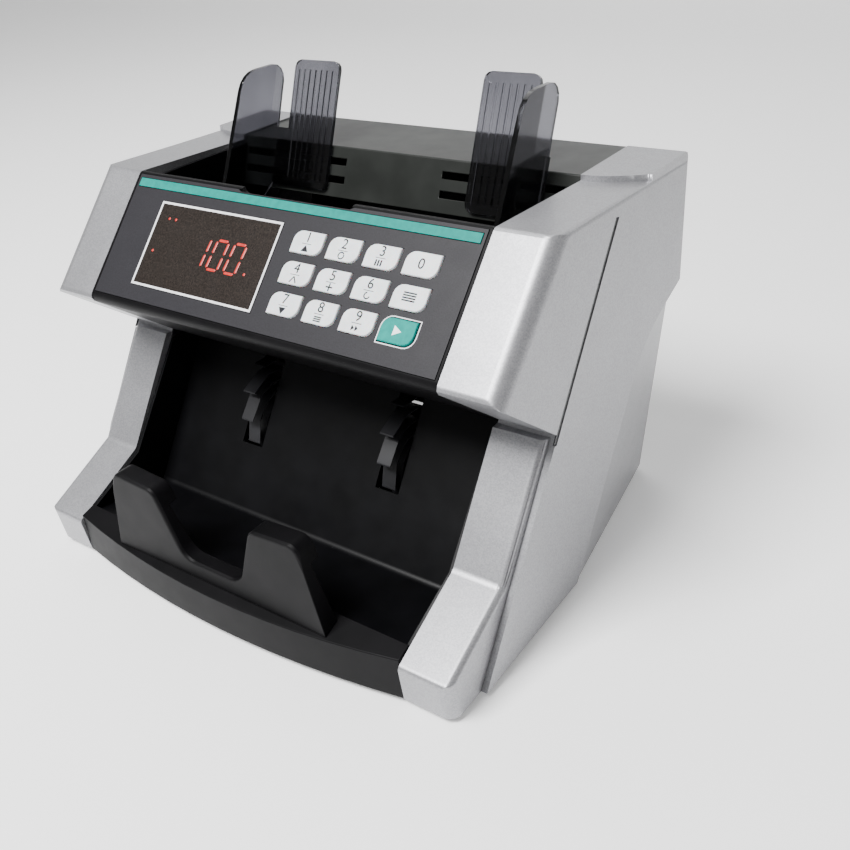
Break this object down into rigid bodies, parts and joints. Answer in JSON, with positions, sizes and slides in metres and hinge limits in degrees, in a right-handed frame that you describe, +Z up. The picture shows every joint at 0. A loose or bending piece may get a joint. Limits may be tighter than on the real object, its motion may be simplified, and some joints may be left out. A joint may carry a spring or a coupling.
{
  "type": "banknote counting machine",
  "caption": "Desktop banknote counter with a top hopper and clear guides, a sloped keypad and display, and an open stacker pocket in front.",
  "frame": {"origin": "centre of the outline at the surface the feet stand on", "axes": "+X to the operator's right, -Y towards the operator, +Z up"},
  "size_m": [0.266, 0.222, 0.2216],
  "materials": {
    "silver_cover": "metallic silver paint, satin",
    "accent_teal": "satin print",
    "key_grey": "satin",
    "smoke_clear": "smoked clear acrylic",
    "charcoal_overlay": "fine grained film",
    "display_pane": "tinted gloss",
    "grey_cover": "semi-gloss",
    "circuit_board": "solder mask",
    "bright_steel": "zinc plated",
    "black_rubber": "matte",
    "switch_red": "gloss",
    "black_plastic": "satin black moulding"
  },
  "bodies": {
    "housing": {"side_cover_left": "silver_cover", "side_cover_right": "silver_cover", "front_leg_left": "silver_cover", "front_leg_right": "silver_cover", "trim_strip_left": "black_plastic", "trim_strip_right": "black_plastic", "base_tray": "black_plastic", "foot_1": "black_rubber", "foot_2": "black_rubber", "foot_3": "black_rubber", "foot_4": "black_rubber", "stacker_pocket": "black_plastic", "stacker_guide": "black_plastic", "control_bezel": "black_plastic", "control_overlay": "charcoal_overlay", "accent_strip": "accent_teal", "display_window": "display_pane", "panel_board": "circuit_board", "hopper_tray": "black_plastic", "top_cover": "grey_cover", "retard_holder": "bright_steel", "chassis_plate_left": "bright_steel", "chassis_plate_right": "bright_steel", "drive_motor": "bright_steel", "drive_belt": "black_rubber", "stacker_motor": "bright_steel", "stacker_belt": "black_rubber", "transformer": "bright_steel", "main_board": "circuit_board", "rear_panel": "black_plastic", "power_inlet": "black_plastic", "display_socket": "black_plastic"},
    "guide_left": {"note_guide_left": "smoke_clear"},
    "guide_right": {"note_guide_right": "smoke_clear"},
    "feed_drum": {"drum_shaft": "bright_steel", "feed_wheel_left": "black_rubber", "feed_wheel_right": "black_rubber"},
    "pickup": {"pickup_roller": "black_rubber"},
    "retard": {"retard_roller": "black_rubber"},
    "pinch": {"pinch_roller": "black_rubber"},
    "drive_pulley": {"motor_pulley": "bright_steel"},
    "stacker": {"stacker_shaft": "bright_steel", "stacker_wheel_left": "black_plastic", "stacker_wheel_right": "black_plastic"},
    "stacker_drive": {"stacker_pulley": "bright_steel"},
    "switch_rocker": {"power_switch": "switch_red"},
    "rear_door": {"rear_door": "black_plastic"},
    "key_1": {"key_1": "key_grey"},
    "key_2": {"key_2": "key_grey"},
    "key_3": {"key_3": "key_grey"},
    "key_0": {"key_0": "key_grey"},
    "key_4": {"key_4": "key_grey"},
    "key_5": {"key_5": "key_grey"},
    "key_6": {"key_6": "key_grey"},
    "key_batch": {"key_batch": "key_grey"},
    "key_7": {"key_7": "key_grey"},
    "key_8": {"key_8": "key_grey"},
    "key_9": {"key_9": "key_grey"},
    "key_start": {"key_start": "accent_teal"}
  },
  "joints": [
    {"name": "key_1_press", "type": "slide", "parent": "housing", "child": "key_1", "axis": [0, 0.7235, -0.6904], "range_m": [0, 0.0008], "stiffness_N_per_m": 600, "springref_m": -0.0008},
    {"name": "key_2_press", "type": "slide", "parent": "housing", "child": "key_2", "axis": [0, 0.7235, -0.6904], "range_m": [0, 0.0008], "stiffness_N_per_m": 600, "springref_m": -0.0008},
    {"name": "key_3_press", "type": "slide", "parent": "housing", "child": "key_3", "axis": [0, 0.7235, -0.6904], "range_m": [0, 0.0008], "stiffness_N_per_m": 600, "springref_m": -0.0008},
    {"name": "key_0_press", "type": "slide", "parent": "housing", "child": "key_0", "axis": [0, 0.7235, -0.6904], "range_m": [0, 0.0008], "stiffness_N_per_m": 600, "springref_m": -0.0008},
    {"name": "key_4_press", "type": "slide", "parent": "housing", "child": "key_4", "axis": [0, 0.7235, -0.6904], "range_m": [0, 0.0008], "stiffness_N_per_m": 600, "springref_m": -0.0008},
    {"name": "key_5_press", "type": "slide", "parent": "housing", "child": "key_5", "axis": [0, 0.7235, -0.6904], "range_m": [0, 0.0008], "stiffness_N_per_m": 600, "springref_m": -0.0008},
    {"name": "key_6_press", "type": "slide", "parent": "housing", "child": "key_6", "axis": [0, 0.7235, -0.6904], "range_m": [0, 0.0008], "stiffness_N_per_m": 600, "springref_m": -0.0008},
    {"name": "key_batch_press", "type": "slide", "parent": "housing", "child": "key_batch", "axis": [0, 0.7235, -0.6904], "range_m": [0, 0.0008], "stiffness_N_per_m": 600, "springref_m": -0.0008},
    {"name": "key_7_press", "type": "slide", "parent": "housing", "child": "key_7", "axis": [0, 0.7235, -0.6904], "range_m": [0, 0.0008], "stiffness_N_per_m": 600, "springref_m": -0.0008},
    {"name": "key_8_press", "type": "slide", "parent": "housing", "child": "key_8", "axis": [0, 0.7235, -0.6904], "range_m": [0, 0.0008], "stiffness_N_per_m": 600, "springref_m": -0.0008},
    {"name": "key_9_press", "type": "slide", "parent": "housing", "child": "key_9", "axis": [0, 0.7235, -0.6904], "range_m": [0, 0.0008], "stiffness_N_per_m": 600, "springref_m": -0.0008},
    {"name": "key_start_press", "type": "slide", "parent": "housing", "child": "key_start", "axis": [0, 0.7235, -0.6904], "range_m": [0, 0.0008], "stiffness_N_per_m": 600, "springref_m": -0.0008},
    {"name": "guide_left_slide", "type": "slide", "parent": "housing", "child": "guide_left", "axis": [1, 0, 0], "range_m": [-0.015, 0.006]},
    {"name": "guide_right_slide", "type": "slide", "parent": "housing", "child": "guide_right", "axis": [1, 0, 0], "range_m": [-0.012, 0.008]},
    {"name": "drum_spin", "type": "hinge", "parent": "housing", "child": "feed_drum", "pos_m": [0, 0.016, 0.1215], "axis": [1, 0, 0], "continuous": true},
    {"name": "pickup_spin", "type": "hinge", "parent": "housing", "child": "pickup", "pos_m": [0, 0.047, 0.141], "axis": [1, 0, 0], "continuous": true},
    {"name": "retard_spin", "type": "hinge", "parent": "housing", "child": "retard", "pos_m": [0, 0, 0.1475], "axis": [1, 0, 0], "continuous": true},
    {"name": "pinch_spin", "type": "hinge", "parent": "housing", "child": "pinch", "pos_m": [0, -0.014, 0.1135], "axis": [1, 0, 0], "continuous": true},
    {"name": "drive_pulley_spin", "type": "hinge", "parent": "housing", "child": "drive_pulley", "pos_m": [0, 0.066, 0.062], "axis": [1, 0, 0], "continuous": true},
    {"name": "stacker_spin", "type": "hinge", "parent": "housing", "child": "stacker", "pos_m": [0, 0.0058, 0.05816], "axis": [1, 0, 0], "continuous": true},
    {"name": "stacker_drive_spin", "type": "hinge", "parent": "housing", "child": "stacker_drive", "pos_m": [0, 0.0538, 0.03416], "axis": [1, 0, 0], "continuous": true},
    {"name": "power_rocker", "type": "hinge", "parent": "housing", "child": "switch_rocker", "pos_m": [-0.02, 0.105, 0.029], "axis": [1, 0, 0], "range_deg": [0, 8]},
    {"name": "rear_door_hinge", "type": "hinge", "parent": "housing", "child": "rear_door", "pos_m": [0, 0.10755, 0.076], "axis": [-1, 0, 0], "range_deg": [0, 75]}
  ],
  "couplings": [
    {"joint": "pickup_spin", "follows": "drum_spin", "ratio": 2.1818},
    {"joint": "pinch_spin", "follows": "drum_spin", "ratio": -4},
    {"joint": "retard_spin", "follows": "drum_spin", "ratio": -0.2},
    {"joint": "drive_pulley_spin", "follows": "drum_spin", "ratio": 2},
    {"joint": "stacker_drive_spin", "follows": "stacker_spin", "ratio": 2}
  ]
}
